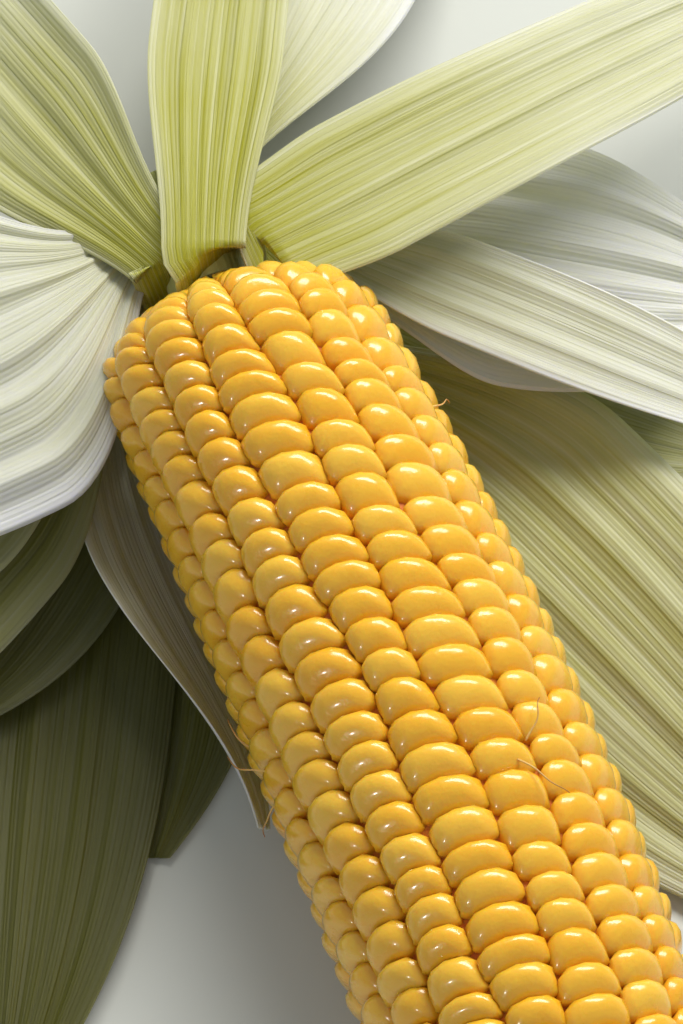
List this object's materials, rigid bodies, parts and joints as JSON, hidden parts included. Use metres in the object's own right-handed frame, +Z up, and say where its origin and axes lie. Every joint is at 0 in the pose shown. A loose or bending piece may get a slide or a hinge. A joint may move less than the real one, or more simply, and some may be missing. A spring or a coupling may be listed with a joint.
{
  "type": "ear of sweet corn with peeled-back husk",
  "caption": "Ear of yellow sweet corn lying on its peeled-back husk, with rows of rounded kernels, a short cut shank and a few strands of silk.",
  "frame": {"origin": "centre of the bounding box on the surface that the part lies on", "axes": "+Z up; the ear lies along Y with its butt and shank towards +Y and its tip towards -Y; +X is to the right of someone who looks along +Y"},
  "size_m": [0.2348, 0.291, 0.0541],
  "materials": {
    "kernels": "glossy, slightly translucent golden yellow kernels",
    "shank": "matt pale green fibrous stem",
    "husk": "satin cream-white to yellow-green leaf with fine lengthwise veins",
    "silk": "fine pale amber thread"
  },
  "bodies": {
    "root": {"ear": "kernels", "shank": "shank", "husk_leaf_left_broad": "husk", "husk_leaf_left_second": "husk", "husk_leaf_left_third": "husk", "husk_leaf_left_fourth": "husk", "husk_leaf_left_lowest": "husk", "husk_leaf_front_left": "husk", "husk_leaf_curled": "husk", "husk_leaf_back_left": "husk", "husk_leaf_back": "husk", "husk_leaf_back_under": "husk", "husk_leaf_back_long": "husk", "husk_leaf_right_wavy": "husk", "husk_leaf_right_narrow": "husk", "husk_leaf_right_under": "husk", "husk_leaf_front_right": "husk", "silk_strand_1": "silk", "silk_strand_2": "silk", "silk_strand_3": "silk", "silk_strand_4": "silk", "silk_strand_5": "silk", "silk_strand_6": "silk"}
  },
  "joints": []
}
